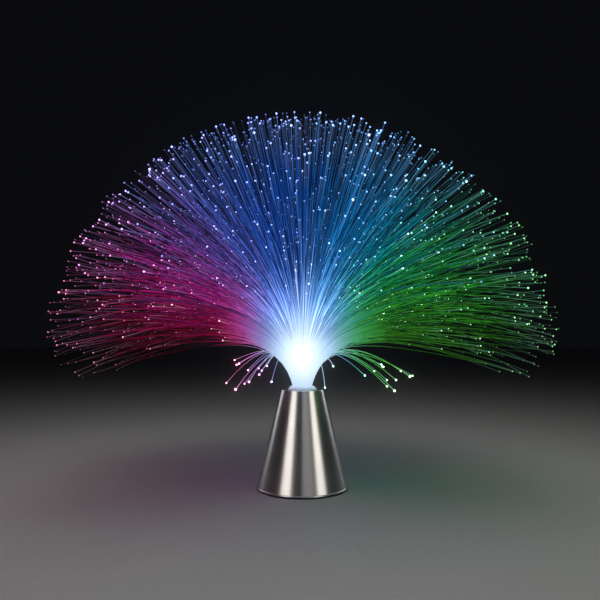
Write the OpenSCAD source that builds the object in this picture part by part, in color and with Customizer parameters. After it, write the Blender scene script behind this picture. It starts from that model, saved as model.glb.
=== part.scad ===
// Battery fibre optic lamp: a spun steel cone that holds three upright cells, a board with
// three coloured LEDs in one row, and a plug-in bundle of plastic fibres that fans out above it.
// Millimetres. The origin is on the lamp's axis at the height of the table, and +Z is up.
// The LEDs stand in a row along X, red on the left, blue in the middle, green on the right.

/* [Cone] */
// Outer diameter across the rolled hem at the foot
base_d = 80; // [76:1:96]
// Outer diameter at the top edge
top_d = 38.5; // [36:0.5:46]
// Sheet thickness, measured level
sheet = 0.8; // [0.5:0.1:1.2]
// Diameter of the rolled hem
hem_d = 1.6; // [1.4:0.1:2.2]
// Radius that the sheet is turned over with at the top edge
top_round = 0.7; // [0.4:0.1:1.2]
// Gap between the table and the hem
foot_gap = 1.0; // [0.6:0.1:1.6]

/* [Socket] */
// Diameter of the collar's flange on top of the cone
collar_d = 25; // [24:0.5:30]
// Thickness of the flange
collar_t = 1.2; // [0.8:0.1:2.4]
// Wall of the socket tube
socket_wall = 1.5; // [1:0.1:2.2]
// Distance across the flats of the nut under the cone's top
nut_across = 26; // [25:0.5:28]
// Height of the nut
nut_h = 4; // [2.5:0.5:6]

/* [Fibre plug] */
// Outer diameter of the ferrule below its shoulder
ferrule_d = 18.4; // [17.6:0.2:20]
// Length of the ferrule below its shoulder
ferrule_l = 13; // [9:0.5:25]
// Wall of the ferrule
ferrule_wall = 0.8; // [0.6:0.1:1.4]
// Diameter of the shoulder that rests on the collar
shoulder_d = 22.2; // [21.4:0.2:24]
// Thickness of the shoulder
shoulder_t = 1.4; // [0.8:0.1:2.4]
// Radial play of the ferrule in the socket
plug_play = 0.08; // [0.04:0.01:0.1]

/* [Spray] */
// Radius of the dome that the longest fibres reach
dome_r = 200; // [120:1:260]
// Height of the dome's centre above the mouth of the plug
dome_rise = 29; // [20:1:40]
// Angle from upright of the lowest fibre tips, seen from the dome's centre
fan_angle = 97; // [70:1:104]
// How far past its own direction a level fibre's end hangs, in degrees
droop = 34; // [0:1:45]
// Angle at which the outermost fibres leave the mouth
mouth_angle = 29; // [10:1:32]
// Spacing of the fibres in the bundle
fibre_pitch = 0.86; // [0.8:0.02:1]
// Half width of a fibre in free air
fibre_r = 0.5; // [0.35:0.05:0.55]
// Part of its curve that the shortest fibre lacks
shortest = 0.5; // [0:0.05:0.6]
// Part of the dome's radius by which the level fibres reach further out
dome_flare = 0.045; // [0:0.005:0.1]

/* [Cells] */
// Diameter of a cell
cell_d = 14.5; // [10.5:0.5:14.5]
// Length of a cell with its button
cell_l = 50.5; // [44.5:0.5:60]
// Radial gap round a cell in its tube
cell_gap = 0.3; // [0.2:0.05:0.6]
// Wall between two cell tubes
cell_web = 0.9; // [0.6:0.1:1.5]
// Outer wall of the cell frame
frame_wall = 1.2; // [1:0.1:1.8]
// Thickness of the deck above the cells
deck_t = 1.5; // [1:0.1:2]

/* [Light engine] */
// Diameter of the LED lens
led_d = 5.0; // [4.6:0.1:5.2]
// Height of an LED above the board
led_h = 8.6; // [6:0.1:10]
// Gap between the LEDs and the polished end of the fibre bundle
led_gap = 2.9; // [1.5:0.1:8]
// Distance between the LEDs
led_pitch = 6.2; // [6:0.1:6.4]
// Thickness of the circuit board
board_t = 1.6; // [0.8:0.2:2]
// Gap between the deck and the board
board_lift = 1.2; // [1:0.1:1.6]
// Wall of the light chamber
chamber_wall = 1.4; // [1:0.1:1.8]

/* [Underside] */
// How far the base plate lies inside the hem
plate_recess = 1.0; // [0.8:0.1:1.6]
// Thickness of the base plate
plate_t = 2.0; // [1.8:0.1:3]
// Height of the skirt that centres the base plate in the cone
skirt_h = 6; // [3:0.5:9]
// Thickness of the battery door
door_t = 1.6; // [1.2:0.1:1.7]
// Gap round the door
door_gap = 0.3; // [0.2:0.05:0.5]
// Diameter of a rubber foot
foot_d = 9; // [6:0.5:10]
// Distance of the feet's middles from the edge of the base plate
foot_inset = 6.6; // [6:0.1:7.5]
// Travel of the switch knob
switch_travel = 3; // [2:0.5:4]
// Distance of the switch's middle from the edge of the base plate
switch_inset = 9.1; // [8.5:0.1:10]

/* [Hidden] */
$fn = 64;

// Clearance between still pieces that slip into each other
slip = 0.2;
// Gap kept between a contact and what it would press on
touch = 0.1;
// Overlap that a cut has past the face it opens
cut = 1;

// Underside, upwards from the table
base_r = base_d / 2;
plate_z = foot_gap + plate_recess;
plate_top = plate_z + plate_t;
door_top = plate_z + door_t;
plate_r = base_r - hem_d - door_gap;

// Cells, standing in a triangle
cell_r = cell_d / 2;
cell_tube_r = cell_r + cell_gap;
cell_ring_r = (2 * cell_tube_r + cell_web) / sqrt(3);
frame_r = cell_ring_r + cell_tube_r + frame_wall;
leaf_t = 0.4;
leaf_h = 3;
cell_z = door_top + leaf_t + leaf_h + touch;
cell_top = cell_z + cell_l;
contact_drop = 0.4;
pad_r = 4.5;
pad_bump_r = 2.2;
bridge_w = 4;
tag_t = 0.4;
tag_w = 1.6;
tag_room = 1.3;
deck_z = cell_top + contact_drop + leaf_t;
deck_top = deck_z + deck_t;
frame_lift = 2.2;
frame_z = plate_top + frame_lift;
button_r = 2.75;
button_h = 1;
cell_angles = [90, 210, 330];

// Board, and above it the LEDs, the plug and the top of the cone
board_z = deck_top + board_lift;
board_top = board_z + board_t;
plug_foot = board_top + led_h + led_gap;
collar_top = plug_foot + ferrule_l;
cone_top = collar_top - collar_t;
mouth_z = collar_top + shoulder_t;
socket_below = 0.3;
socket_foot = plug_foot - socket_below;

// Cone: its wall runs from the hem's middle to the top edge
top_r = top_d / 2;
hem_z = foot_gap + hem_d / 2;
wall_foot_r = base_r - (hem_d - sheet) / 2;
function cone_r(z) = wall_foot_r + (top_r - wall_foot_r) * (z - hem_z) / (cone_top - hem_z);
function inside_r(z) = cone_r(z) - sheet;

// Plug and socket
ferrule_r = ferrule_d / 2;
glue = 0.05;
bundle_r = ferrule_r - ferrule_wall - glue;
socket_r = ferrule_r + plug_play;
tube_r = socket_r + socket_wall;

// Light chamber and board
led_r = led_d / 2;
led_flange_r = led_r + 0.4;
led_flange_h = 1;
chamber_r = led_pitch + led_flange_r + 0.5;
chamber_out_r = max(chamber_r, tube_r + slip) + chamber_wall;
chamber_lap = 3;
post_angles = [30, 150, 270];
board_screw_r = 0.9;
board_head_r = 1.9;
board_screw_l = 4;
board_ring_r = chamber_out_r + board_head_r + 0.3;
ear_t = 1.6;
ear_r = board_head_r + 0.4;
board_r = board_ring_r + ear_r + 0.2;
lead_r = 0.25;
lead_gap = 1.27;

// Fixings of the base plate and the door
lug_r = 3.4;
lug_h = 9;
foot_ring_r = plate_r - foot_inset;
lug_ring_r = foot_ring_r - 2.5;
base_screw_r = 1.3;
base_head_r = 2.5;
base_head_t = 1.3;
base_screw_l = 7;
door_screw_l = 6;
pilot_spare = 0.5;
pilot_gap = 0.1;
screw_room = 0.3;
opening_r = cell_ring_r + cell_tube_r + 0.5;
door_r = opening_r + 1.7;
tab_y = door_r + 2.9;
tab_r = 3.6;
tab_angle = 210;
door_rim_t = 1;
door_rim_h = 1.2;
foot_angles = [0, 120, 240];
foot_seat = 0.5;

// Switch
switch_y = plate_r - switch_inset;
knob_x = 3.2;
knob_y = 3;
knob_proud = 0.8;
shoe = 4.4;
shoe_h = 1.6;
case_wall = 1;
shoe_room = 0.3;
case_x = shoe + switch_travel + 2 * (shoe_room + case_wall);
case_y = shoe + 2 * (shoe_room + case_wall);
case_h = 5.5;
pin_w = 0.8;
pin_t = 0.4;
pin_h = 2.4;
pin_pitch = 2.8;
wire_r = 0.6;

// A copy of the children at each angle, on a circle of the given radius
module around(angles, radius) {
    for (a = angles) rotate([0, 0, a]) translate([radius, 0, 0]) children();
}

// A cylinder between two heights
module rod(r, z0, z1) {
    translate([0, 0, z0]) cylinder(r = r, h = z1 - z0);
}

// A box centred on X and Y between two heights
module block(x, y, z0, z1) {
    translate([-x / 2, -y / 2, z0]) cube([x, y, z1 - z0]);
}

// A screw with its head down, driven upwards from z0, with a cross recess in the head
module screw_up(shank_r, head_r, head_t, z0, z1) {
    recess_l = head_r * 1.3;
    recess_w = 0.6;
    difference() {
        union() {
            rod(head_r, z0, z0 + head_t);
            rod(shank_r, z0 + head_t, z1);
        }
        for (a = [0, 90]) rotate([0, 0, a]) block(recess_l, recess_w, z0 - cut, z0 + head_t / 2);
    }
}

// ---------- cone ----------

// Points of a quarter turn of radius r round a centre, from the outer side to the top
function edge_arc(c, r) = [for (a = [0 : 22.5 : 90]) c + r * [cos(a), sin(a)]];

module cone_housing() {
    color("silver") union() {
        rotate_extrude() polygon(concat(
            [[inside_r(hem_z), hem_z], [cone_r(hem_z), hem_z]],
            edge_arc([top_r - top_round, cone_top - top_round], top_round),
            [[tube_r + slip, cone_top], [tube_r + slip, cone_top - sheet],
             [inside_r(cone_top - sheet), cone_top - sheet]]));
        rotate_extrude() translate([base_r - hem_d / 2, hem_z]) circle(d = hem_d);
    }
}

// ---------- socket ----------

module socket_collar() {
    bevel = 0.4;
    color("white") rotate_extrude() polygon([
        [socket_r, socket_foot], [tube_r, socket_foot], [tube_r, cone_top],
        [collar_d / 2, cone_top], [collar_d / 2, collar_top - bevel],
        [collar_d / 2 - bevel, collar_top], [socket_r, collar_top]]);
}

module collar_nut() {
    nut_top = cone_top - sheet;
    color("dimgray") difference() {
        translate([0, 0, nut_top - nut_h]) cylinder(d = nut_across / cos(30), h = nut_h, $fn = 6);
        rod(tube_r + touch, nut_top - nut_h - cut, nut_top + cut);
    }
}

// ---------- light engine ----------

module light_chamber() {
    roof_t = 0.8;
    ledge_t = 1.2;
    color("white") difference() {
        union() {
            rod(chamber_out_r, board_top, socket_foot + chamber_lap);
            for (a = post_angles) rotate([0, 0, a]) {
                translate([chamber_out_r - 1, -ear_r, board_top])
                    cube([board_ring_r - chamber_out_r + 1, 2 * ear_r, ear_t]);
                translate([board_ring_r, 0, 0]) rod(ear_r, board_top, board_top + ear_t);
            }
        }
        rod(chamber_r, board_top - cut, socket_foot - ledge_t);
        rod(socket_r, socket_foot - ledge_t - roof_t, socket_foot + cut);
        rod(tube_r + slip, socket_foot, socket_foot + chamber_lap + cut);
        around(post_angles, board_ring_r)
            rod(board_screw_r + pilot_gap, board_top - cut, board_top + ear_t + cut);
        around(post_angles, board_ring_r)
            rod(board_head_r + slip, board_top + ear_t, socket_foot + chamber_lap + cut);
    }
}

led_spots = [-led_pitch, 0, led_pitch];

module led_board() {
    color("darkgreen") difference() {
        rod(board_r, board_z, board_top);
        around(post_angles, board_ring_r)
            rod(board_screw_r + pilot_gap, board_z - cut, board_top + cut);
        for (x = led_spots, side = [-1, 1]) translate([x, side * lead_gap, 0])
            rod(lead_r + touch, board_z - cut, board_top + cut);
    }
}

module led(x, shade) {
    lead_end = 0.6;
    color(shade) translate([x, 0, 0]) union() {
        rod(led_flange_r, board_top, board_top + led_flange_h);
        rod(led_r, board_top, board_top + led_h - led_r);
        translate([0, 0, board_top + led_h - led_r]) sphere(r = led_r);
        for (side = [-1, 1]) translate([0, side * lead_gap, 0])
            rod(lead_r, board_z - lead_end, board_top + led_flange_h / 2);
    }
}

module led_red() led(led_spots[0], "red");
module led_blue() led(led_spots[1], "royalblue");
module led_green() led(led_spots[2], "limegreen");

// Radius at which the small parts stand on the board, clear of the chamber
parts_ring_r = (chamber_out_r + board_r) / 2;

module colour_chip() {
    body = [3.2, 4.9, 1.3];
    leg = [0.6, 0.4, 0.3];
    leg_pitch = 1.27;
    color("black") rotate([0, 0, cell_angles[1]]) translate([parts_ring_r, 0, board_top]) union() {
        translate([-body[0] / 2, -body[1] / 2, 0]) cube(body);
        for (side = [-1, 1], i = [-1.5 : 1.5])
            translate([side * (body[0] + leg[0]) / 2 - leg[0] / 2, i * leg_pitch - leg[1] / 2, 0])
                cube(leg);
    }
}

module resistors() {
    body_r = 0.85;
    body_l = 3.4;
    wire_end = 0.4;
    step = 3.2;
    color("tan") rotate([0, 0, cell_angles[2]]) for (i = [-1 : 1])
        translate([parts_ring_r, i * step, board_top + body_r]) rotate([0, 90, 0]) union() {
            cylinder(r = body_r, h = body_l, center = true);
            cylinder(r = lead_r, h = body_l + 2 * wire_end, center = true);
        }
}

module board_screws() {
    head_t = 1.2;
    recess_l = 2.4;
    recess_w = 0.5;
    head_z = board_top + ear_t;
    color("gainsboro") around(post_angles, board_ring_r) difference() {
        union() {
            rod(board_head_r, head_z, head_z + head_t);
            rod(board_screw_r, deck_top - board_screw_l, head_z);
        }
        for (a = [0, 90]) rotate([0, 0, a])
            block(recess_l, recess_w, head_z + head_t / 2, head_z + head_t + cut);
    }
}

// ---------- cells and their frame ----------

module lug(radius, boss_r, top_z) {
    rib_t = 2.4;
    translate([radius, 0, 0]) rod(boss_r, plate_top, top_z);
    translate([frame_r - 1, -rib_t / 2, frame_z]) cube([radius - frame_r + 1, rib_t, top_z - frame_z]);
}

module battery_frame() {
    boss_r = 3;
    color("ivory") difference() {
        union() {
            rod(frame_r, frame_z, deck_top);
            around(post_angles, board_ring_r) rod(ear_r, deck_top - cut, board_z);
            for (a = post_angles) rotate([0, 0, a]) lug(lug_ring_r, lug_r, plate_top + lug_h);
            rotate([0, 0, tab_angle]) lug(tab_y, boss_r, plate_top + lug_h);
        }
        around(cell_angles, cell_ring_r) rod(cell_tube_r, frame_z - cut, deck_z);
        around(post_angles, board_ring_r)
            rod(board_screw_r + pilot_gap, deck_top - board_screw_l - pilot_spare, board_z + cut);
        around(post_angles, lug_ring_r)
            rod(base_screw_r + pilot_gap, plate_top - cut, plate_top + base_screw_l + pilot_spare);
        around([tab_angle], tab_y)
            rod(base_screw_r + pilot_gap, plate_top - cut, plate_top + base_screw_l + pilot_spare);
        around([cell_angles[0]], cell_ring_r)
            block(tag_t + 2 * tag_room, tag_w + 2 * slip, deck_z - cut, deck_top + cut);
        bridge(slip, deck_z - leaf_t - slip);
    }
}

// The bridge between the contacts of the second and the third cell, from z up to the deck
module bridge(grow, z) {
    half_l = cell_ring_r * sin(60);
    half_w = bridge_w / 2 + grow;
    translate([-half_l, -cell_ring_r / 2 - half_w, z]) cube([2 * half_l, 2 * half_w, deck_z - z]);
}

// Cell number i, with its button up or down by turns
module cell(i, up) {
    color("goldenrod") around([cell_angles[i]], cell_ring_r)
        translate([0, 0, up ? cell_z : cell_top]) mirror([0, 0, up ? 0 : 1]) union() {
            rod(cell_r, 0, cell_l - button_h);
            rod(button_r, cell_l - button_h - 0.5, cell_l);
        }
}

module cell_1() cell(0, true);
module cell_2() cell(1, false);
module cell_3() cell(2, true);

// Contact pads under the deck: one for the first cell, with a tab up to the board, and a
// bridge between the second and the third
module top_contacts() {
    color("gold") union() {
        around(cell_angles, cell_ring_r) union() {
            rod(pad_r, deck_z - leaf_t, deck_z);
            rod(pad_bump_r, cell_top, deck_z);
        }
        bridge(0, deck_z - leaf_t);
        around([cell_angles[0]], cell_ring_r) block(tag_t, tag_w, deck_z - leaf_t / 2, board_z);
    }
}

strip_w = 4;
strip_foot_z = plate_top + 1.4;
strip_top = frame_z + 10;
strip_face = frame_r + touch;
strip_start = cell_ring_r + 5;

// Strip that the third cell's door contact presses on, up the outside of the frame
module return_strip() {
    color("gold") rotate([0, 0, cell_angles[2]]) union() {
        translate([strip_face, -strip_w / 2, strip_foot_z]) cube([leaf_t, strip_w, strip_top - strip_foot_z]);
        translate([strip_start, -strip_w / 2, strip_foot_z])
            cube([strip_face - strip_start + leaf_t, strip_w, leaf_t]);
    }
}

// ---------- underside ----------

// Outline of the door: a disc with a tab for its screw
module door_shape(grow, z0, z1) {
    rod(door_r + grow, z0, z1);
    rotate([0, 0, tab_angle]) {
        translate([tab_y, 0, 0]) rod(tab_r + grow, z0, z1);
        translate([door_r - 2, -tab_r - grow, z0]) cube([tab_y - door_r + 2, 2 * (tab_r + grow), z1 - z0]);
    }
}

module base_plate() {
    skirt_t = 1.4;
    skirt_top = plate_top + skirt_h;
    slot_x = knob_x + switch_travel + 2 * door_gap;
    slot_y = knob_y + 2 * door_gap;
    color("dimgray") difference() {
        union() {
            rod(plate_r, plate_z, plate_top);
            rotate_extrude() polygon([
                [inside_r(plate_top) - slip, plate_top], [inside_r(skirt_top) - slip, skirt_top],
                [inside_r(skirt_top) - slip - skirt_t, skirt_top],
                [inside_r(skirt_top) - slip - skirt_t, plate_top - cut / 2],
                [plate_r - 0.5, plate_top - cut / 2], [plate_r - 0.5, plate_top]]);
        }
        rod(opening_r, plate_z - cut, plate_top + cut);
        door_shape(door_gap, plate_z - cut, door_top);
        around([tab_angle], tab_y) rod(base_screw_r + screw_room, door_top - cut, plate_top + cut);
        around(post_angles, lug_ring_r) {
            rod(base_screw_r + pilot_gap, plate_z - cut, plate_top + cut);
            rod(base_head_r + screw_room, plate_z - cut, plate_z + base_head_t);
        }
        around(foot_angles, foot_ring_r) rod(foot_d / 2, plate_z - cut, plate_z + foot_seat);
        translate([0, switch_y, 0]) block(slot_x, slot_y, plate_z - cut, plate_top + cut);
    }
}

module base_screws() {
    color("gainsboro") around(post_angles, lug_ring_r)
        screw_up(base_screw_r, base_head_r, base_head_t, plate_z, plate_top + base_screw_l);
}

module rubber_feet() {
    bevel = 0.5;
    color("black") around(foot_angles, foot_ring_r) rotate_extrude() polygon([
        [0, 0], [foot_d / 2 - bevel, 0], [foot_d / 2, bevel],
        [foot_d / 2, plate_z + foot_seat], [0, plate_z + foot_seat]]);
}

module battery_door() {
    grip = [12, 1, 0.4];
    grip_pitch = 2.2;
    head_seat = 1;
    color("dimgray") difference() {
        union() {
            door_shape(0, plate_z, door_top);
            rod(opening_r - door_gap, door_top - 0.4, door_top + door_rim_h);
        }
        rod(opening_r - door_gap - door_rim_t, door_top, door_top + door_rim_h + cut);
        around([tab_angle], tab_y) {
            rod(base_screw_r + pilot_gap, plate_z - cut, door_top + cut);
            rod(base_head_r + slip, plate_z - cut, plate_z + head_seat);
        }
        for (i = [-2 : 2]) translate([0, i * grip_pitch, 0])
            block(grip[0], grip[1], plate_z - cut, plate_z + grip[2]);
    }
}

module door_screw() {
    head_t = 0.9;
    color("gainsboro") around([tab_angle], tab_y)
        screw_up(base_screw_r, base_head_r, head_t, plate_z + touch, plate_top + door_screw_l);
}

// A sprung leaf that arches up to the end of a cell
module leaf() {
    half = 5.5;
    crown = 1.8;
    width = 5;
    top = leaf_t + leaf_h;
    translate([0, width / 2, door_top]) rotate([90, 0, 0]) linear_extrude(height = width) difference() {
        polygon([[-half, 0], [half, 0], [half, leaf_t], [crown, top], [-crown, top], [-half, leaf_t]]);
        polygon([[-half + 1, leaf_t], [half - 1, leaf_t], [crown - 0.2, leaf_h], [-crown + 0.2, leaf_h]]);
    }
}

// Two leaves joined under the first and second cell, and one with a finger to the return strip
module door_contacts() {
    finger_r = cell_ring_r + 5.6;
    finger_w = 3;
    join_w = 4;
    color("gold") union() {
        around(cell_angles, cell_ring_r) rotate([0, 0, 90]) leaf();
        around([150], cell_ring_r / 2)
            block(join_w, 2 * cell_ring_r * sin(60), door_top, door_top + leaf_t);
        rotate([0, 0, cell_angles[2]]) {
            translate([cell_ring_r - 2, -finger_w / 2, door_top])
                cube([finger_r - cell_ring_r + 2, finger_w, leaf_t]);
            translate([finger_r - leaf_t, -finger_w / 2, door_top])
                cube([leaf_t, finger_w, strip_foot_z - touch - door_top]);
        }
    }
}

// ---------- switch ----------

module switch_case() {
    color("gray") translate([0, switch_y, 0]) difference() {
        block(case_x, case_y, plate_top, plate_top + case_h);
        block(case_x - 2 * case_wall, case_y - 2 * case_wall, plate_top - cut,
              plate_top + shoe_h + 2 * shoe_room);
    }
}

module switch_terminals() {
    color("gold") for (i = [-1 : 1])
        translate([i * pin_pitch, switch_y, 0])
            block(pin_w, pin_t, plate_top + case_h, plate_top + case_h + pin_h);
}

module switch_knob() {
    groove_w = 0.4;
    groove_h = 0.3;
    color("black") translate([-switch_travel / 2, switch_y, 0]) difference() {
        union() {
            block(knob_x, knob_y, plate_z - knob_proud, plate_top + shoe_h / 2);
            block(shoe, shoe, plate_top + slip, plate_top + slip + shoe_h);
        }
        for (i = [-1 : 1]) translate([i, 0, 0])
            block(groove_w, knob_y + cut, plate_z - knob_proud - cut, plate_z - knob_proud + groove_h);
    }
}

// A round wire of eight sides through the given points, as one closed skin
module wire(points) {
    sides = 8;
    last = len(points) - 1;
    ways = [for (i = [0 : last]) let (v = points[min(i + 1, last)] - points[max(i - 1, 0)]) v / norm(v)];
    rings = [for (i = [0 : last]) let (
        across = cross(ways[i], abs(ways[i][2]) < 0.9 ? [0, 0, 1] : [1, 0, 0]),
        u = across / norm(across), w = cross(ways[i], u))
        for (k = [0 : sides - 1]) points[i] + wire_r * (cos(k * 360 / sides) * u + sin(k * 360 / sides) * w)];
    walls = [for (i = [0 : last - 1], k = [0 : sides - 1])
        let (a = i * sides + k, b = i * sides + (k + 1) % sides)
        each [[a, b + sides, b], [a, a + sides, b + sides]]];
    polyhedron(rings, concat([[for (k = [0 : sides - 1]) k]], walls,
                             [[for (k = [sides - 1 : -1 : 0]) last * sides + k]]));
}

function at_angle(r, a, z) = [r * cos(a), r * sin(a), z];

// From the return strip round the frame to the switch, and from the switch up to the board
module wires() {
    pin_top = plate_top + case_h + pin_h + wire_r;
    strip_r = strip_face + leaf_t + wire_r;
    run_r = (frame_r + switch_y) / 2 - wire_r;
    run_z = strip_top + 6 * wire_r;
    wall_r = frame_r + 2 * wire_r;
    color("firebrick") union() {
        wire([at_angle(strip_r, 330, strip_top - wire_r), at_angle(run_r, 345, (strip_top + run_z) / 2),
              at_angle(run_r, 370, run_z), at_angle(run_r, 400, run_z),
              at_angle(run_r + 3 * wire_r, 430, pin_top + 3 * wire_r), [pin_pitch, switch_y, pin_top]]);
        wire([[-pin_pitch, switch_y, pin_top], at_angle(run_r, 102, (pin_top + run_z) / 2),
              at_angle(wall_r, 96, run_z + 12 * wire_r), at_angle(wall_r, 90, deck_z - 12 * wire_r),
              at_angle(wall_r, 90, board_top), at_angle(board_r, 90, board_top + 3 * wire_r),
              at_angle(board_r - 3 * wire_r, 90, board_top + wire_r)]);
    }
}

// ---------- fibre plug ----------

module fibre_ferrule() {
    bevel = 0.4;
    color("whitesmoke") rotate_extrude() polygon([
        [ferrule_r - ferrule_wall, plug_foot], [ferrule_r - bevel, plug_foot],
        [ferrule_r, plug_foot + bevel], [ferrule_r, collar_top], [shoulder_d / 2, collar_top],
        [shoulder_d / 2, mouth_z - bevel], [shoulder_d / 2 - bevel, mouth_z],
        [ferrule_r - ferrule_wall, mouth_z]]);
}

// The packed fibres inside the ferrule end below in one polished face, and above in the slices
// that the spray's zones stand on
slice_z = mouth_z - 1;
slice_top = mouth_z + 0.6;

module fibre_bundle() {
    color("white") rod(bundle_r, plug_foot, slice_z);
}

// ---------- spray ----------

root_r = 0.33;
// Shares of the dome's radius over which a fibre keeps its first and its last direction
rise_share = 0.26;
arch_share = 0.48;
// The higher, the nearer to level a fibre must be to reach past the dome
flare_power = 8;
// Widest angle in degrees that a fibre strays from its azimuth, to both sides together
stray = 5;
// Part of its curve over which a fibre widens out of the packed bundle
widening = 0.15;
// The higher, the fewer fibres are short
few_short = 2.5;
row_pitch = fibre_pitch * sqrt(3) / 2;
root_limit = bundle_r - root_r - glue;
root_z = (slice_z + slice_top) / 2 - slip;
dome_z = mouth_z + dome_rise;

// A number from 0 to 1 that looks random and is the same for opposite fibres
function scatter(p, k) = let (v = abs(p[0] * 11.171 + p[1] * 67.28) * k / fibre_pitch) v - floor(v);

// Where the fibres of rows lo to hi leave the bundle
function roots(lo, hi) = let (n = ceil(root_limit / fibre_pitch)) [
    for (i = [lo : hi], j = [-n - 1 : n])
        let (p = [i * row_pitch, (j + (i % 2 == 0 ? 0 : 0.5)) * fibre_pitch])
        if (norm(p) <= root_limit) p];

// A fibre bends in the upright plane through its root. Its curve is a cubic with four control
// points [out, up]: root, near the mouth, before the tip, and tip. Shorter fibres stop early.
function polar(p) = acos(1 - pow(norm(p) / root_limit, 2) * (1 - cos(fan_angle)));
function lean(p) = mouth_angle * norm(p) / root_limit;
function hang(p) = polar(p) + droop * pow(sin(polar(p)), 2);
function reach(p) = dome_r * (1 + dome_flare * pow(sin(polar(p)), flare_power));
function controls(p) = let (
    start = [norm(p), root_z],
    tip = [reach(p) * sin(polar(p)), dome_z + reach(p) * cos(polar(p))])
    [start, start + rise_share * dome_r * [sin(lean(p)), cos(lean(p))],
     tip - arch_share * dome_r * [sin(hang(p)), cos(hang(p))], tip];
function on_curve(c, t) = pow(1 - t, 3) * c[0] + 3 * t * pow(1 - t, 2) * c[1]
    + 3 * t * t * (1 - t) * c[2] + pow(t, 3) * c[3];
function along(c, t) = let (v = pow(1 - t, 2) * (c[1] - c[0]) + 2 * t * (1 - t) * (c[2] - c[1])
    + t * t * (c[3] - c[2])) v / norm(v);

// The three corners of a fibre's section at a point of its curve
function section(p, c, t) = let (
    azimuth = (norm(p) == 0 ? 0 : atan2(p[1], p[0])) + stray * (scatter(p, 0.37) - 0.5) * t,
    q = on_curve(c, t), v = along(c, t), r = root_r + (fibre_r - root_r) * min(1, t / widening))
    [for (a = [0, 120, 240]) let (out = q[0] + r * cos(a) * v[1], side = r * sin(a))
        [out * cos(azimuth) - side * sin(azimuth), out * sin(azimuth) + side * cos(azimuth),
         q[1] - r * cos(a) * v[0]]];

// One fibre, with more steps the more it bends
module strand(p) {
    steps = norm(p) < 0.35 * root_limit ? 2 : norm(p) < 0.7 * root_limit ? 3 : 4;
    c = controls(p);
    end = 1 - shortest * pow(scatter(p, 1), few_short);
    points = [for (i = [0 : steps]) each section(p, c, end * pow(i / steps, 1.2))];
    walls = [for (i = [0 : steps - 1], k = [0 : 2]) let (a = 3 * i + k, b = 3 * i + (k + 1) % 3)
        each [[a, b + 3, b], [a, a + 3, b + 3]]];
    polyhedron(points, concat([[0, 1, 2]], walls, [[3 * steps + 2, 3 * steps + 1, 3 * steps]]));
}

rows = floor(root_limit / row_pitch);
// Rows at which the colour changes, counted from the middle
blue_rows = round(rows * 0.3);
mixed_rows = round(rows * 0.5);

// The fibres of rows lo to hi, on their slice of the bundle
module spray(lo, hi) {
    left = lo == -rows ? -bundle_r - cut : (lo - 0.5) * row_pitch;
    right = hi == rows ? bundle_r + cut : (hi + 0.5) * row_pitch;
    union() {
        intersection() {
            rod(bundle_r, slice_z, slice_top);
            translate([left, -bundle_r - cut, slice_z - cut])
                cube([right - left, 2 * (bundle_r + cut), slice_top - slice_z + 2 * cut]);
        }
        for (p = roots(lo, hi)) strand(p);
    }
}

module spray_magenta() color("mediumvioletred") spray(-rows, -mixed_rows - 1);
module spray_violet() color("mediumpurple") spray(-mixed_rows, -blue_rows - 1);
module spray_blue() color("dodgerblue") spray(-blue_rows, blue_rows);
module spray_teal() color("turquoise") spray(blue_rows + 1, mixed_rows);
module spray_green() color("limegreen") spray(mixed_rows + 1, rows);
echo(fibres = len(roots(-rows, rows)));

cone_housing();
socket_collar();
collar_nut();
light_chamber();
led_board();
led_red();
led_blue();
led_green();
colour_chip();
resistors();
board_screws();
battery_frame();
cell_1();
cell_2();
cell_3();
top_contacts();
return_strip();
base_plate();
base_screws();
rubber_feet();
switch_case();
switch_terminals();
wires();
battery_door();
door_contacts();
door_screw();
switch_knob();
fibre_ferrule();
fibre_bundle();
spray_magenta();
spray_violet();
spray_blue();
spray_teal();
spray_green();
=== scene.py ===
import math

import bpy
import numpy as np
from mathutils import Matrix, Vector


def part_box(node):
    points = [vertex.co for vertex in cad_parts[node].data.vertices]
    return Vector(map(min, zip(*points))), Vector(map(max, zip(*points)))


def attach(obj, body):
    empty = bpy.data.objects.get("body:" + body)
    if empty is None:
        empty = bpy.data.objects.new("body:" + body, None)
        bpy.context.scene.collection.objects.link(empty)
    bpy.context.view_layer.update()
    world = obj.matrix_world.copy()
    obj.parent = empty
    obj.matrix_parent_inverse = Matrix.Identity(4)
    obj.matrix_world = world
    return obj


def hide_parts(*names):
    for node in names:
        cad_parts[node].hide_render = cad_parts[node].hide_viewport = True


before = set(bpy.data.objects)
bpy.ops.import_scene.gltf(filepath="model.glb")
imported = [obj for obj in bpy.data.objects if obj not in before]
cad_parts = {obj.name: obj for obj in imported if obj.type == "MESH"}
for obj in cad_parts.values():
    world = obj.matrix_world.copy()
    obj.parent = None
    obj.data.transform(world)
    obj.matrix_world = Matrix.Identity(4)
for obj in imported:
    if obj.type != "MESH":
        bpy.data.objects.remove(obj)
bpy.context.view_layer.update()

# ---- Camera ----
# The lamp is seen almost level, from about half a metre and just left of its axis. The camera
# stands a little below the middle of the lamp and looks slightly upwards.
camera_distance = 0.538
camera_height = 0.134
camera_aside = -0.002
camera_tilt = 3.33
camera_lens = 36.06


def put(name, data):
    """A new object with this data, in the scene."""
    made = bpy.data.objects.new(name, data)
    bpy.context.scene.collection.objects.link(made)
    return made


camera = put("camera", bpy.data.cameras.new("camera"))
camera.data.lens = camera_lens
camera.data.sensor_width = 36
camera.data.clip_start = 0.01
camera.location = (camera_aside, -camera_distance, camera_height)
camera.rotation_euler = (math.radians(90 + camera_tilt), 0, 0)
bpy.context.scene.camera = camera

# ---- Cone ----
# The body of the lamp is one stainless steel sheet, spun on a lathe into a cone, its foot rolled
# into a hem and its top turned in over the socket. It is brushed while it still turns, so the
# marks run round it and every light draws out into a streak from top to foot.


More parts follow.
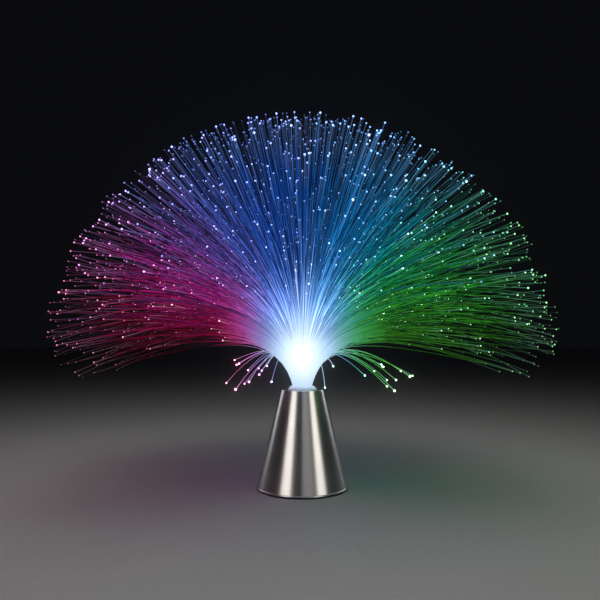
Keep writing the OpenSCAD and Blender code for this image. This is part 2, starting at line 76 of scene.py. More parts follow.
def linear(code):
    """An sRGB colour such as #C8C5C1, as the linear numbers that a shader takes."""
    parts = [int(code[i:i + 2], 16) / 255 for i in (1, 3, 5)]
    return [v / 12.92 if v <= 0.04045 else ((v + 0.055) / 1.055) ** 2.4 for v in parts] + [1.0]


def add(tree, kind, sockets=None, **settings):
    """A new shader node with its settings, and its sockets set to values or linked to outputs."""
    node = tree.nodes.new("ShaderNode" + kind)
    for name, value in settings.items():
        setattr(node, name, value)
    for name, value in (sockets or {}).items():
        if isinstance(value, bpy.types.NodeSocket):
            tree.links.new(value, node.inputs[name])
        else:
            node.inputs[name].default_value = value
    return node


def maths(tree, operation, *values, **settings):
    """The result of an operation on numbers or on other nodes' outputs."""
    return add(tree, "Math", dict(enumerate(values)), operation=operation, **settings).outputs[0]


def surface(name, **values):
    """A material with one Principled shader. Returns the material, its tree and the shader."""
    made = bpy.data.materials.new(name)
    made.use_nodes = True
    shader = made.node_tree.nodes["Principled BSDF"]
    for socket, value in values.items():
        shader.inputs[socket.replace("_", " ")].default_value = value
    return made, made.node_tree, shader


def ramp(tree, factor, stops, smooth="LINEAR"):
    """What a factor picks from stops of (place, sRGB code) or of (place, number)."""
    node = add(tree, "ValToRGB", {0: factor})
    node.color_ramp.interpolation = smooth
    bands = node.color_ramp.elements
    while len(bands) < len(stops):
        bands.new(1)
    for band, (place, value) in zip(bands, stops):
        band.position = place
        band.color = linear(value) if isinstance(value, str) else (value, value, value, 1)
    return node.outputs["Color"]


def per(millimetres):
    """The scale at which a texture repeats about once in this many millimetres."""
    return 1000 / millimetres


def dress(material, *nodes):
    """Gives CAD nodes a material."""
    for name in nodes:
        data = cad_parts[name].data
        if not data.materials:
            data.materials.append(material)
        for i in range(len(data.materials)):
            data.materials[i] = material


# Spun and brushed stainless steel, grade 304: warm grey, and satin rather than mirror bright.
# The brush marks are about 0.1 mm apart and drawn at 0.5 mm, so that they show.
steel, tree, shader = surface("spun_stainless_steel", Metallic=1.0, Anisotropic=0.8,
                             Anisotropic_Rotation=0.25)
place = add(tree, "TexCoord").outputs["Object"]
rings = add(tree, "Mapping", {"Vector": place, "Scale": (0.03, 0.03, 1)})
marks = add(tree, "TexNoise", {"Vector": rings.outputs[0], "Scale": per(0.5), "Detail": 4})
smudge = add(tree, "TexNoise", {"Vector": place, "Scale": per(22), "Detail": 3})
tree.links.new(ramp(tree, marks.outputs["Fac"], [(0.3, "#CFCBC7"), (0.7, "#D6D3CF")]),
               shader.inputs["Base Color"])
# Below a roughness of about 0.275 the renderer takes steel for a mirror, and the denoiser draws
# dark scratches where the marks cross that value
rough = maths(tree, "ADD", ramp(tree, marks.outputs["Fac"], [(0.3, 0.285), (0.7, 0.315)]),
              ramp(tree, smudge.outputs["Fac"], [(0.35, 0.0), (0.7, 0.03)]))
tree.links.new(rough, shader.inputs["Roughness"])
grooves = add(tree, "Bump", {"Height": marks.outputs["Fac"], "Strength": 0.03, "Distance": 0.00003})
tree.links.new(grooves.outputs[0], shader.inputs["Normal"])
turn = add(tree, "Tangent", direction_type="RADIAL", axis="Z")
tree.links.new(turn.outputs[0], shader.inputs["Tangent"])
dress(steel, "cone_housing")

# ---- Socket ----
# A white nylon socket drops through the top of the cone and a grey nut holds it from inside.
# Its wall is thin enough for the light of the plug to shine through the flange.


def moulded(name, dark, light, grain_mm, depth_mm, roughness, **values):
    """A moulded plastic: two close shades, and a fine sparked texture of this grain and depth."""
    made, tree, shader = surface(name, Roughness=roughness, IOR=1.53, **values)
    place = add(tree, "TexCoord").outputs["Object"]
    grain = add(tree, "TexNoise", {"Vector": place, "Scale": per(grain_mm), "Detail": 3})
    cloud = add(tree, "TexNoise", {"Vector": place, "Scale": per(14), "Detail": 2})
    tree.links.new(ramp(tree, cloud.outputs["Fac"], [(0.3, dark), (0.7, light)]),
                   shader.inputs["Base Color"])
    bump = add(tree, "Bump", {"Height": grain.outputs["Fac"], "Strength": 0.5,
                              "Distance": depth_mm / 1000})
    tree.links.new(bump.outputs[0], shader.inputs["Normal"])
    return made


# Natural nylon lit from inside: milky, and faintly blue where the light comes through
lit_nylon = moulded("lit_white_nylon", "#DDE6EE", "#EEF3F7", grain_mm=0.6, depth_mm=0.02, roughness=0.38,
                    Emission_Color=linear("#BFD9F2"), Emission_Strength=0.22)
# Dark grey ABS with the even spark texture that hides marks on an underside
grey_abs = moulded("sparked_grey_abs", "#48484B", "#525255", grain_mm=0.45, depth_mm=0.06, roughness=0.58)
dress(lit_nylon, "socket_collar", "light_chamber")
dress(grey_abs, "collar_nut")

# ---- Light engine ----
# A round glass-fibre board carries three 5 mm LEDs in one row, red, blue and green, with a
# colour chip and three resistors beside the white chamber that mixes their light.

# Green solder mask: the glass weave of the board shows through as a faint 0.8 mm check
solder_mask, tree, shader = surface("green_solder_mask", Roughness=0.3, IOR=1.5)
place = add(tree, "TexCoord").outputs["Object"]
weave = add(tree, "TexChecker", {"Vector": place, "Scale": per(0.8)})
check = add(tree, "MixRGB", {"Fac": weave.outputs["Fac"], "Color1": linear("#12502A"),
                             "Color2": linear("#185C31")})
tree.links.new(check.outputs[0], shader.inputs["Base Color"])
lay = add(tree, "Bump", {"Height": weave.outputs["Fac"], "Strength": 0.2, "Distance": 0.00002})
tree.links.new(lay.outputs[0], shader.inputs["Normal"])
dress(solder_mask, "led_board")


def epoxy(name, dark, light, glow):
    """Tinted clear epoxy of a lit LED lens, unevenly bright as its chip shines through."""
    made, tree, shader = surface(name, Roughness=0.06, IOR=1.55, Emission_Strength=4.0)
    place = add(tree, "TexCoord").outputs["Object"]
    cloud = add(tree, "TexNoise", {"Vector": place, "Scale": per(1.5), "Detail": 2})
    tree.links.new(ramp(tree, cloud.outputs["Fac"], [(0.3, dark), (0.7, light)]),
                   shader.inputs["Base Color"])
    tree.links.new(ramp(tree, cloud.outputs["Fac"], [(0.2, dark), (0.75, glow)]),
                   shader.inputs["Emission Color"])
    return made


dress(epoxy("lit_red_epoxy", "#B01028", "#E02040", "#FF5070"), "led_red")
dress(epoxy("lit_blue_epoxy", "#1838C0", "#3060F0", "#80A8FF"), "led_blue")
dress(epoxy("lit_green_epoxy", "#109030", "#20C850", "#80FFA0"), "led_green")
# Black epoxy moulding compound of the chip's body, finely matt
compound = moulded("black_moulding_compound", "#0E0E0F", "#161617", grain_mm=0.25, depth_mm=0.02,
                   roughness=0.45)
dress(compound, "colour_chip")

# Lacquered carbon film resistors: tan bodies with brown rings across them, at 1.1 mm steps
resistor_angle = math.radians(330)
lacquer, tree, shader = surface("lacquered_resistor", Roughness=0.28, IOR=1.5)
place = add(tree, "TexCoord").outputs["Object"]
lengthways = add(tree, "VectorMath",
                 {0: place, 1: (math.cos(resistor_angle), math.sin(resistor_angle), 0)},
                 operation="DOT_PRODUCT").outputs["Value"]
step = maths(tree, "FRACT", maths(tree, "MULTIPLY", lengthways, per(1.1)))
tree.links.new(ramp(tree, step, [(0.0, "#B98F5C"), (0.62, "#C69C68"), (0.64, "#5A2A12"),
                                 (0.9, "#6A3216"), (0.92, "#B98F5C")], "CONSTANT"),
               shader.inputs["Base Color"])
dress(lacquer, "resistors")


def plated(name, dark, light, bright, dull):
    """A thin metal plating over another metal, cloudy between two shades and two roughnesses."""
    made, tree, shader = surface(name, Metallic=1.0)
    place = add(tree, "TexCoord").outputs["Object"]
    cloud = add(tree, "TexNoise", {"Vector": place, "Scale": per(2.5), "Detail": 4})
    tree.links.new(ramp(tree, cloud.outputs["Fac"], [(0.3, dark), (0.7, light)]),
                   shader.inputs["Base Color"])
    tree.links.new(ramp(tree, cloud.outputs["Fac"], [(0.3, bright), (0.7, dull)]),
                   shader.inputs["Roughness"])
    return made


# Bright zinc plate: a cool grey with a faint yellow passivation
zinc = plated("zinc_plated_steel", "#A9ABA6", "#C9C8BE", bright=0.28, dull=0.42)
dress(zinc, "board_screws")

# ---- Cells and their frame ----
# Three AA cells stand in a moulded frame, joined by nickel plated contacts. The frame carries
# the board on its posts and takes the screws of the base plate and the door.

# Ivory ABS of the cell frame, matt from the mould
ivory_abs = moulded("ivory_abs", "#CFC6B0", "#DAD2BE", grain_mm=0.5, depth_mm=0.03, roughness=0.5)
# Nickel plate over brass: warm where it is thin
nickel = plated("nickel_plated_brass", "#B9B29C", "#D6D0BC", bright=0.18, dull=0.3)
dress(ivory_abs, "battery_frame")
dress(nickel, "top_contacts", "return_strip")

# A cell's jacket is a plain printed film, unmarked, over a steel can that shows at both ends
jacket, tree, shader = surface("plain_cell_film")
place = add(tree, "TexCoord").outputs["Object"]
height = add(tree, "SeparateXYZ", {0: place}).outputs["Z"]
cell_low, cell_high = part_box("cell_1")
along = add(tree, "MapRange", {"Value": height, "From Min": cell_low.z, "From Max": cell_high.z})
film = add(tree, "TexNoise", {"Vector": place, "Scale": per(6), "Detail": 3})
is_film = ramp(tree, along.outputs[0], [(0, 0), (0.035, 1), (0.945, 1), (0.965, 0)], "CONSTANT")
printed = ramp(tree, film.outputs["Fac"], [(0.3, "#8E7038"), (0.7, "#A58446")])
wrapped = add(tree, "MixRGB", {"Fac": is_film, "Color1": linear("#C4C4C0"), "Color2": printed})
tree.links.new(wrapped.outputs[0], shader.inputs["Base Color"])
tree.links.new(maths(tree, "SUBTRACT", 1.0, is_film), shader.inputs["Metallic"])
tree.links.new(ramp(tree, film.outputs["Fac"], [(0.3, 0.25), (0.7, 0.35)]),
               shader.inputs["Roughness"])
dress(jacket, "cell_1", "cell_2", "cell_3")

# ---- Underside ----
# A moulded base plate closes the foot of the cone and stands on three rubber feet. Two PVC
# wires run from the cells' strip to the slide switch and on to the board.
dress(grey_abs, "base_plate")
dress(zinc, "base_screws", "switch_case")
dress(nickel, "switch_terminals")
# Moulded rubber: nearly black, with a dusty bloom
rubber = moulded("moulded_rubber", "#121212", "#1E1E1D", grain_mm=0.7, depth_mm=0.08, roughness=0.85)
dress(rubber, "rubber_feet")
# Red PVC of the wires' jackets, smooth and slightly waxy
red_pvc = moulded("red_pvc", "#8A1410", "#A01A14", grain_mm=0.8, depth_mm=0.01, roughness=0.4)
dress(red_pvc, "wires")

# ---- Battery door and switch ----
# The door comes off downwards once its captive screw is undone, and carries the lower contacts.
# The knob of the slide switch stands in a slot beside it.
dress(grey_abs, "battery_door")
dress(nickel, "door_contacts")
dress(zinc, "door_screw")
# Black acetal, which wears to a slight shine under the finger
black_acetal = moulded("black_acetal", "#0C0C0D", "#131314", grain_mm=0.6, depth_mm=0.02, roughness=0.35)
dress(black_acetal, "switch_knob")

# ---- Fibre plug ----
# The fibres are glued into a white ferrule, and their lower ends are cut and polished in one
# face. The light that leaks from the packed fibres fills the ferrule.

# White acetal, lit through and through
lit_acetal = moulded("lit_white_acetal", "#E6EEF5", "#F4F8FB", grain_mm=0.5, depth_mm=0.01, roughness=0.3,
                     Emission_Color=linear("#D6E8FF"), Emission_Strength=0.4)
dress(lit_acetal, "fibre_ferrule")

# Polished ends of the fibres, side by side: a bright disc each, and darker glue between them
packed, tree, shader = surface("packed_fibre_ends", Roughness=0.12, IOR=1.49,
                               Emission_Strength=3.0)
place = add(tree, "TexCoord").outputs["Object"]
discs = add(tree, "TexVoronoi", {"Vector": place, "Scale": per(0.6)})
tree.links.new(ramp(tree, discs.outputs["Distance"], [(0.3, "#F2F8FF"), (0.6, "#9DB8D8")]),
               shader.inputs["Base Color"])
tree.links.new(ramp(tree, discs.outputs["Distance"], [(0.3, "#DCEBFF"), (0.6, "#5E86B8")]),
               shader.inputs["Emission Color"])
dress(packed, "fibre_bundle")

# ---- Fibres ----
# Clear acrylic (PMMA) fibres, extruded and cut to many lengths. They leave the mouth in one
# tight neck, arch over and end on a dome. Each carries the colour of the LED that it stands
# over: red on the left, blue in the middle, green on the right, mixed between them.
LONG_FIBRES = 3000
SHORT_FIBRES = 48
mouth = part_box("fibre_ferrule")[1].z
# The fibres start a little inside the ferrule
root_height = mouth - 0.0022
neck_radius = 0.0079
fibre_radius = 0.00024
# They are drawn thinner in the neck, where so many stand side by side
root_radius = 0.00019
thickens_over = 0.2         # of the path
bead_radius = 0.0006
# Where the fibres part and the light of the middle LED bursts out between them
parting = np.array([0, 0, mouth + 0.034])

# The dome of the tips: wider than it is high, and drawn in again below its widest place
dome_radius = 0.203
dome_height = mouth + 0.0305
dome_bulge = 0.052
drawn_in_from = 87          # degrees from upright
drawn_in_share = 0.1        # of the dome's radius, in ten degrees
# Angles from upright: of the lowest tips, how much higher those to the front and back stand,
# and by how much those to the front do so more
fan_angle = math.radians(97)
depth_lift = math.radians(18)
front_lift = math.radians(14)
tip_scatter = 2             # degrees
reach_scatter = 0.0025      # of the dome's radius
# How far a level fibre's end hangs below its own direction, and how a fibre leaves the mouth
sag_angle = math.radians(20)
mouth_angle = math.radians(11)
# How far the path follows its direction at the mouth and at the tip, in dome radii
mouth_pull = 0.245
tip_pull = (0.62, 0.8)
# Short fibres: how far they reach, and how high they arch and end above the mouth
short_reach = (0.038, 0.07)
short_reach_right = 0.032   # what those on the right have more
short_pull = 0.041
short_arch = (0.036, 0.044)
short_end = (-0.002, 0.024)

# Corners round a fibre and rings along it, and the same for the bead on its end
SIDES = 5
STEPS = 14
BEAD_SIDES = 6
BEAD_ROWS = 4

# The colour zones, by the place of a fibre in the bundle, -1 to 1 across X
zones = {"spray_magenta": (-2.0, -0.52), "spray_violet": (-0.52, -0.33), "spray_blue": (-0.33, 0.33),
         "spray_teal": (0.33, 0.52), "spray_green": (0.52, 2.0)}
chance = np.random.default_rng(7)


class Fibre:
    """One fibre: where it leaves the mouth, its cubic path, and how bright it is."""

    def __init__(self, root, way, points, spark, end=1.0, turn=0.0):
        self.root = root          # its place in the bundle, -1 to 1 across X
        self.way = way            # its azimuth
        self.points = points      # four control points (out, up)
        self.spark = spark        # how bright it is beside the brightest
        self.end = end            # how much of the path it has
        self.turn = turn          # how far its azimuth wanders
        mixed = root * 1.05 + chance.normal(0, 0.05)
        self.hue = min(1, max(0, 0.5 + 0.5 * mixed))   # 0 over the red LED, 1 over the green

    def line(self):
        """The rings along the fibre: shares of the whole path, places, directions and azimuths."""
        # The rings stand a little closer together near the root
        share = self.end * np.linspace(0, 1, STEPS) ** 1.15
        a, b, c, d = (np.array(p)[None, :] for p in self.points)
        t = share[:, None]
        flat = (1 - t) ** 3 * a + 3 * t * (1 - t) ** 2 * b + 3 * t * t * (1 - t) * c + t ** 3 * d
        away = self.way + self.turn * share ** 1.5
        place = np.stack([flat[:, 0] * np.cos(away), flat[:, 0] * np.sin(away), flat[:, 1]], 1)
        along = np.gradient(place, axis=0)
        return share, place, along / np.linalg.norm(along, axis=1)[:, None], away


def leaning(length, angle):
    """A step (out, up) of this length at an angle from upright."""
    return length * np.array([math.sin(angle), math.cos(angle)])


def cut_length():
    """How much of its path a fibre has: half of them reach the dome, and the others are shorter."""
    if chance.uniform() < 0.5:
        return chance.uniform(0.98, 1.0)
    return 0.98 - 0.42 * chance.uniform() ** 1.3


def tuft_light(u, way):
    """How bright a fibre's tuft is: the LEDs don't light the bundle's lower face evenly."""
    light = 0.75 + 0.25 * math.sin(13 * u * math.cos(way) + 1) * math.sin(11 * u * math.sin(way))
    dimmer_at_rim = 0.6 * max(0, (u - 0.88) / 0.12)
    return light * (1 - dimmer_at_rim)


def long_fibre(number):
    """A fibre of the dome. They fill the bundle and the dome evenly, by turns of the golden angle."""
    u = math.sqrt((number + 0.5) / LONG_FIBRES)
    way = number * math.pi * (3 - math.sqrt(5))
    polar = math.acos(1 - u * u * (1 - math.cos(fan_angle)))
    polar += math.radians(chance.normal(0, tip_scatter)) * u
    # Only the fibres at both sides hang low; those to the front and back stand higher
    level = math.sin(polar) ** 2
    polar = min(polar, fan_angle) - depth_lift * level * math.sin(way) ** 2
    polar -= front_lift * level * max(0.0, -math.sin(way)) ** 4
    sag = sag_angle * math.sin(polar) ** 2 * chance.uniform(0.35, 1.35)
    bulge = dome_bulge * math.sin(polar) ** 1.4
    drawn_in = drawn_in_share * max(0, (math.degrees(polar) - drawn_in_from) / 10)
    reach = dome_radius * (1 + bulge - drawn_in - abs(chance.normal(0, reach_scatter)))
    start = np.array([neck_radius * u, root_height])
    tip = np.array([0, dome_height]) + leaning(reach, polar)
    near = start + leaning(mouth_pull * dome_radius, mouth_angle * u * chance.uniform(0.8, 1.2))
    far = tip - leaning(chance.uniform(*tip_pull) * dome_radius, polar + sag)
    return Fibre(u * math.cos(way), way, [start, near, far, tip], end=cut_length(),
                 spark=tuft_light(u, way) * (0.12 + 0.88 * chance.uniform() ** 2.2),
                 turn=math.radians(chance.normal(0, 3)))


def short_fibre(number):
    """A fibre that tips over close to the mouth and hangs. There are none to the front and back."""
    way = 2 * math.pi * (number + chance.uniform(0, 0.8)) / SHORT_FIBRES
    if abs(math.sin(way)) > 0.75:
        return None
    out = chance.uniform(*short_reach) + (short_reach_right if math.cos(way) > 0 else 0)
    start = np.array([neck_radius * chance.uniform(0.93, 1.0), root_height])
    near = start + leaning(short_pull, math.radians(chance.uniform(10, 15)))
    far = np.array([0.5 * out, mouth + chance.uniform(*short_arch)])
    tip = np.array([out, mouth + chance.uniform(*short_end)])
    return Fibre(math.cos(way), way, [start, near, far, tip], spark=chance.uniform(0.6, 1.1),
                 turn=math.radians(chance.normal(0, 5)))


def stray(near, far, tip):
    """A single fibre on the right, by three points (out, height above the mouth)."""
    points = [(neck_radius, root_height)] + [(out, mouth + up) for out, up in (near, far, tip)]
    return Fibre(1.0, math.radians(-14), points, spark=0.8)


fibres = [long_fibre(i) for i in range(LONG_FIBRES)]
fibres += [fibre for fibre in map(short_fibre, range(SHORT_FIBRES)) if fibre]
# One stray hangs straight down past the rim, and one ends close to the neck
fibres.append(stray((0.009, 0.028), (0.017, 0.038), (0.0206, -0.001)))
fibres.append(stray((0.011, 0.030), (0.022, 0.032), (0.028, 0.018)))


def mesh_piece(name, corners, faces, uvs, marks, material):
    """A piece from numpy corners and quads, with its bake map and its per-corner numbers."""
    mesh = bpy.data.meshes.new(name)
    mesh.vertices.add(len(corners))
    mesh.vertices.foreach_set("co", corners.ravel())
    mesh.loops.add(faces.size)
    mesh.loops.foreach_set("vertex_index", faces.ravel())
    mesh.polygons.add(len(faces))
    mesh.polygons.foreach_set("loop_start", np.arange(len(faces)) * faces.shape[1])
    mesh.update(calc_edges=True)
    layer = mesh.uv_layers.new(name="OFBake")
    layer.data.foreach_set("uv", uvs.ravel())
    for key, values in marks.items():
        mesh.attributes.new(key, "FLOAT", "POINT").data.foreach_set("value", values)
    mesh.validate()
    mesh.shade_smooth()
    mesh.materials.append(material)
    return put(name, mesh)


# The burst of light at the parting. Below it, distances count for less, so that the neck is lit.
# Along X, Y and Z: the size of the white core, in metres, and of the space in which the colours
# are still mixed, in dome radii.
neck_share = 0.35
core_size = np.array([0.018, 0.03, 0.021])
core_cut_below = 1.9
mixing_size = [0.45, 0.6, 1.0]
halo_at = 0.27              # dome radii from the parting
halo_width = 0.17
end_fade = 0.005


def marks_along(fibre, place):
    """What the light does at points of a fibre, as the numbers that its material reads.

    run    distance from the parting, in dome radii, and less of it down in the neck
    mixed  the same, but growing faster to the sides, where the colours separate sooner
    halo   the pale flare above the parting, in the steep fibres only
    core   the white heart of the burst, 1 at the parting
    last   1 at the cut end, fading within some millimetres
    hue    0 over the red LED, 1 over the green
    spark  how bright the fibre is beside the brightest
    """
    off = (place - parting) / dome_radius
    off[:, 2] *= np.where(off[:, 2] < 0, neck_share, 1)
    run = np.linalg.norm(off, axis=1)
    steep = np.clip((off[:, 2] / (run + 1e-9) - 0.4) / 0.35, 0, 1)
    steep = steep * steep * (3 - 2 * steep)
    heart = off * (dome_radius / core_size)
    heart[:, 2] *= np.where(heart[:, 2] < 0, core_cut_below, 1)
    to_end = np.linalg.norm(place - place[-1], axis=1)
    return {"run": run, "mixed": np.linalg.norm(off / mixing_size, axis=1),
            "halo": steep * np.exp(-((run - halo_at) / halo_width) ** 2),
            "core": np.exp(-np.sum(heart ** 2, axis=1)), "last": np.exp(-to_end / end_fade),
            "hue": np.full(len(run), fibre.hue), "spark": np.full(len(run), fibre.spark)}


def map_row(number, group):
    """The strip of the bake map that a fibre of the group has."""
    return (number + 0.1) / len(group), (number + 0.9) / len(group)


def strands(group):
    """Tubes along the fibres of a group: corners, quads, bake map and marks."""
    corners, faces, uvs, marks = [], [], [], []
    k = np.arange(SIDES)
    after = (k + 1) % SIDES
    around = k * 2 * math.pi / SIDES
    for number, fibre in enumerate(group):
        share, place, along, away = fibre.line()
        side = np.stack([-np.sin(away), np.cos(away), 0 * away], 1)
        up = np.cross(along, side)
        radius = root_radius + (fibre_radius - root_radius) * np.minimum(1, share / thickens_over)
        ring = (side[:, None, :] * np.cos(around)[None, :, None]
                + up[:, None, :] * np.sin(around)[None, :, None])
        corners.append((place[:, None, :] + radius[:, None, None] * ring).reshape(-1, 3))
        marks.append(marks_along(fibre, place))
        low, high = map_row(number, group)
        for i, (left, right) in enumerate(zip(share, share[1:])):
            base = (number * STEPS + i) * SIDES
            faces.append(base + np.stack([k, after, after + SIDES, k + SIDES], 1))
            uvs.append(np.tile([[left, low], [left, high], [right, high], [right, low]], (SIDES, 1)))
    return (np.concatenate(corners), np.concatenate(faces), np.concatenate(uvs),
            {key: np.repeat(np.concatenate([row[key] for row in marks]), SIDES) for key in marks[0]})


def beads(group):
    """A small round bead of light on the cut end of each fibre, larger on the brighter ones."""
    corners, faces, uvs, run, hue, spark = [], [], [], [], [], []
    slope = np.arange(BEAD_ROWS + 1) * math.pi / BEAD_ROWS
    around = np.arange(BEAD_SIDES) * 2 * math.pi / BEAD_SIDES
    # Each pole is a tiny ring, so that every face has four corners
    wide = np.maximum(np.sin(slope), 0.03)
    ball = np.stack([np.outer(wide, np.cos(around)), np.outer(wide, np.sin(around)),
                     np.outer(np.cos(slope), np.ones(BEAD_SIDES))], 2).reshape(-1, 3)
    for number, fibre in enumerate(group):
        tip = fibre.line()[1][-1]
        corners.append(tip + bead_radius * (0.72 + 0.8 * fibre.spark) * ball)
        low, high = map_row(number, group)
        for i in range(BEAD_ROWS):
            for k in range(BEAD_SIDES):
                base = number * len(ball) + i * BEAD_SIDES
                a, b = base + k, base + (k + 1) % BEAD_SIDES
                faces.append([a, a + BEAD_SIDES, b + BEAD_SIDES, b])
                uvs += [[0.1, low], [0.1, high], [0.9, high], [0.9, low]]
        run += [np.linalg.norm(tip - parting) / dome_radius] * len(ball)
        hue += [fibre.hue] * len(ball)
        spark += [fibre.spark] * len(ball)
    return (np.concatenate(corners), np.array(faces), np.array(uvs),
            {"run": np.array(run), "mixed": np.array(run), "hue": np.array(hue),
             "spark": np.array(spark)})


# The colours of the mixed light, from left to right
LIGHT = [(0.0, "#840628"), (0.07, "#CC0C60"), (0.14, "#CC30AA"), (0.22, "#8C5CD0"),
         (0.31, "#406CE4"), (0.4, "#105EDA"), (0.5, "#0450B4"), (0.6, "#0A80DA"),
         (0.7, "#0C92D8"), (0.77, "#0EAC98"), (0.85, "#28B43C"), (1.0, "#4AA41A")]
white_hot = "#ECF2FF"
unlit_acrylic = "#0C1014"
# How much of the light's colour is painted into the base colour of the clear fibres, as a painted tint
painted_tint_share = 0.06
# Distances from the parting, in dome radii, over which the colours separate, and over which the
# fibres become unlike each other
colours_separate = (0.06, 0.4)
fibres_differ = (0.14, 0.42)
least_separate = 0.45
# How much the flare, the heart of the burst and a cut end add to a fibre's own brightness
halo_light = 0.42
core_light = 0.34
end_light = 0.1
end_paleness = 0.3


def glowing(name, strength, white, bright, pale_code, roughness):
    """Clear acrylic that leaks light: where the fibres part white hot, further out in its colour.

    white and bright are stops of (distance from the parting, how white or how bright).
    """
    made, tree, shader = surface(name, Roughness=roughness, IOR=1.49, Specular_IOR_Level=0.02,
                                 Emission_Strength=strength)
    run, mixed, halo, hue, spark, last, core = (
        add(tree, "Attribute", attribute_name=mark).outputs["Fac"]
        for mark in ("run", "mixed", "halo", "hue", "spark", "last", "core"))
    # At the parting the three colours are still mixed to blue, and further out they separate
    parted = add(tree, "MapRange", {"Value": run, "From Min": colours_separate[0],
                                    "From Max": colours_separate[1], "To Min": least_separate,
                                    "To Max": 1.0}).outputs[0]
    from_middle = maths(tree, "SUBTRACT", hue, 0.5)
    tint = ramp(tree, maths(tree, "MULTIPLY_ADD", from_middle, parted, 0.5), LIGHT)
    # In the neck all fibres are equally bright, and further out some leak more than others
    unlike = add(tree, "MapRange", {"Value": run, "From Min": fibres_differ[0],
                                    "From Max": fibres_differ[1]}).outputs[0]
    own = maths(tree, "MULTIPLY_ADD", maths(tree, "SUBTRACT", spark, 1.0), unlike, 1.0)
    # The brighter of two neighbours also looks paler, and so does a fibre's last bit
    paler = maths(tree, "MULTIPLY", maths(tree, "MULTIPLY_ADD", own, 0.6, 0.4),
                  ramp(tree, mixed, white))
    paler = maths(tree, "MULTIPLY_ADD", last, end_paleness, paler, use_clamp=True)
    pale = add(tree, "MixRGB", {"Fac": paler, "Color1": tint, "Color2": linear(pale_code)})
    pale = add(tree, "MixRGB", {"Fac": core, "Color1": pale.outputs[0], "Color2": linear(white_hot)})
    flare = maths(tree, "MULTIPLY_ADD", last, end_light, ramp(tree, run, bright))
    flare = maths(tree, "MULTIPLY_ADD", halo, halo_light, flare)
    flare = maths(tree, "MULTIPLY_ADD", core, core_light, flare)
    level = maths(tree, "MULTIPLY", flare, own, use_clamp=True)
    lit = add(tree, "VectorMath", {0: pale.outputs[0], "Scale": level}, operation="SCALE")
    tree.links.new(lit.outputs[0], shader.inputs["Emission Color"])
    # Base colour: dark unlit acrylic with a small share of the light's colour mixed in, a painted tint of
    # the light that clear acrylic has not
    clear = add(tree, "MixRGB", {"Fac": painted_tint_share, "Color1": linear(unlit_acrylic), "Color2": tint})
    tree.links.new(clear.outputs[0], shader.inputs["Base Color"])
    made.cycles.emission_sampling = "NONE"
    return made


# The sides of the fibres leak a little light, and their cut ends shine with the rest of it
acrylic = glowing("lit_acrylic_fibre", 3.0,
                  [(0.0, 1.0), (0.2, 1.0), (0.3, 0.75), (0.42, 0.35), (0.6, 0.1), (0.85, 0.0)],
                  [(0.0, 0.19), (0.06, 0.2), (0.12, 0.25), (0.2, 0.27), (0.3, 0.32), (0.42, 0.4),
                   (0.65, 0.36), (0.8, 0.3), (0.9, 0.22), (1.0, 0.1)], "#B8DCFF", 0.14)
ends = glowing("lit_fibre_ends", 12.0, [(0.0, 0.25), (1.0, 0.25)],
               [(0.0, 0.8), (0.7, 0.8), (0.95, 0.6), (1.0, 0.45)], "#F4F0FF", 0.3)

for zone, (low, high) in zones.items():
    group = sorted((f for f in fibres if low <= f.root < high), key=lambda f: f.hue)
    colour = zone.removeprefix("spray_")
    piece = mesh_piece("fibres_" + colour, *strands(group), acrylic)
    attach(piece, "fibre_plug")
    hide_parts(zone)
    tips = mesh_piece("fibre_ends_" + colour, *beads(group), ends)
    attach(tips, "fibre_plug")

# ---- Studio ----
# A pale matt table top, and soft boxes at both sides that stand as bright streaks in the steel.
# Behind them it is dark, so that the glow of the fibres shows.
table_reach = 6.0
mesh = bpy.data.meshes.new("table_top")
mesh.from_pydata([(x * table_reach, y * table_reach, 0)
                  for x, y in ((-1, -1), (1, -1), (1, 1), (-1, 1))], [], [(0, 1, 2, 3)])
table_top = put("table_top", mesh)
# Matt board without any sheen, in a warm light grey with faint flecks
matt, tree, shader = surface("pale_matt_board", Roughness=0.85, IOR=1.45, Specular_IOR_Level=0.0)
place = add(tree, "TexCoord").outputs["Object"]
fleck = add(tree, "TexNoise", {"Vector": place, "Scale": per(3), "Detail": 4})
tree.links.new(ramp(tree, fleck.outputs["Fac"], [(0.3, "#C6C4C0"), (0.7, "#CDCBC8")]),
               shader.inputs["Base Color"])
mesh.materials.append(matt)


def soft_box(name, angle, distance, low, high, width, power, tint="#FFFFFF"):
    """An upright soft box at an angle round the lamp from the camera's side, facing the lamp."""
    light = bpy.data.lights.new(name, "AREA")
    light.shape = "RECTANGLE"
    light.size = width
    light.size_y = high - low
    light.energy = power
    light.color = linear(tint)[:3]
    box = put(name, light)
    a = math.radians(angle)
    box.location = (distance * math.sin(a), -distance * math.cos(a), (low + high) / 2)
    box.rotation_euler = (math.radians(90), 0, a)
    box.visible_camera = False
    box.visible_diffuse = False


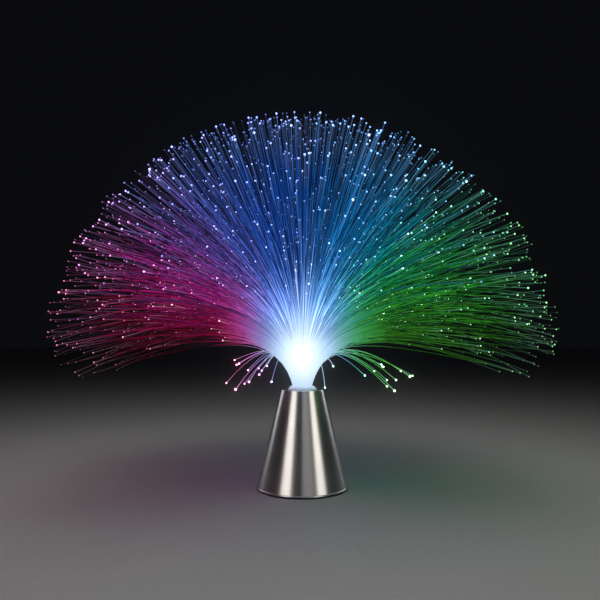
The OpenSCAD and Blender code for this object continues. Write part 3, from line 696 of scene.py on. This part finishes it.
soft_box("left_box", angle=-43, distance=1.1, low=0.05, high=1.5, width=0.5, power=4.6, tint="#FFFCF8")
soft_box("right_box", angle=50, distance=1.1, low=0.05, high=1.5, width=0.44, power=4.1, tint="#FFFCF8")
soft_box("front_fill", angle=14, distance=1.4, low=0.1, high=1.6, width=0.7, power=1.3)
# The edge boxes stand clear of the table, so that they don't light it from the side
soft_box("left_edge", angle=-128, distance=1.0, low=0.16, high=1.3, width=0.3, power=2.0, tint="#F4F7FF")
soft_box("right_edge", angle=134, distance=1.0, low=0.16, high=1.3, width=0.3, power=2.0, tint="#F4F7FF")

# A round light above lights the table and the dome, and isn't mirrored in the steel
top = bpy.data.lights.new("top_box", "AREA")
top.shape = "DISK"
top.size = 0.5
top.energy = 1.5
overhead = put("top_box", top)
overhead.location = (0, -0.12, 0.66)
overhead.visible_camera = False
overhead.visible_glossy = False

# The glow of the spray itself, on the table and on the top of the cone
glow_height = dome_height + 0.06
for name, x, code, power in [("glow_red", -0.09, "#FF2C6A", 0.10), ("glow_blue", 0, "#5C9CFF", 0.20),
                             ("glow_green", 0.09, "#50E060", 0.10)]:
    light = bpy.data.lights.new(name, "POINT")
    light.energy = power
    light.color = linear(code)[:3]
    light.shadow_soft_size = 0.05
    lamp = put(name, light)
    lamp.location = (x, 0, glow_height)
    lamp.visible_camera = False
    lamp.visible_glossy = False

world = bpy.data.worlds.new("dark_studio")
world.use_nodes = True
world.node_tree.nodes["Background"].inputs["Color"].default_value = linear("#101114")
world.node_tree.nodes["Background"].inputs["Strength"].default_value = 0.6
bpy.context.scene.world = world
bpy.context.scene.view_settings.view_transform = "Standard"

# The soft glow that a lens adds round lights this bright
bpy.context.scene.use_nodes = True
picture = bpy.context.scene.node_tree
picture.nodes.clear()
layers = picture.nodes.new("CompositorNodeRLayers")
bloom = picture.nodes.new("CompositorNodeGlare")
bloom.glare_type = "BLOOM"
bloom.inputs["Threshold"].default_value = 0.7
bloom.inputs["Strength"].default_value = 0.4
bloom.inputs["Size"].default_value = 0.45
shown = picture.nodes.new("CompositorNodeComposite")
picture.links.new(layers.outputs["Image"], bloom.inputs["Image"])
picture.links.new(bloom.outputs["Image"], shown.inputs["Image"])
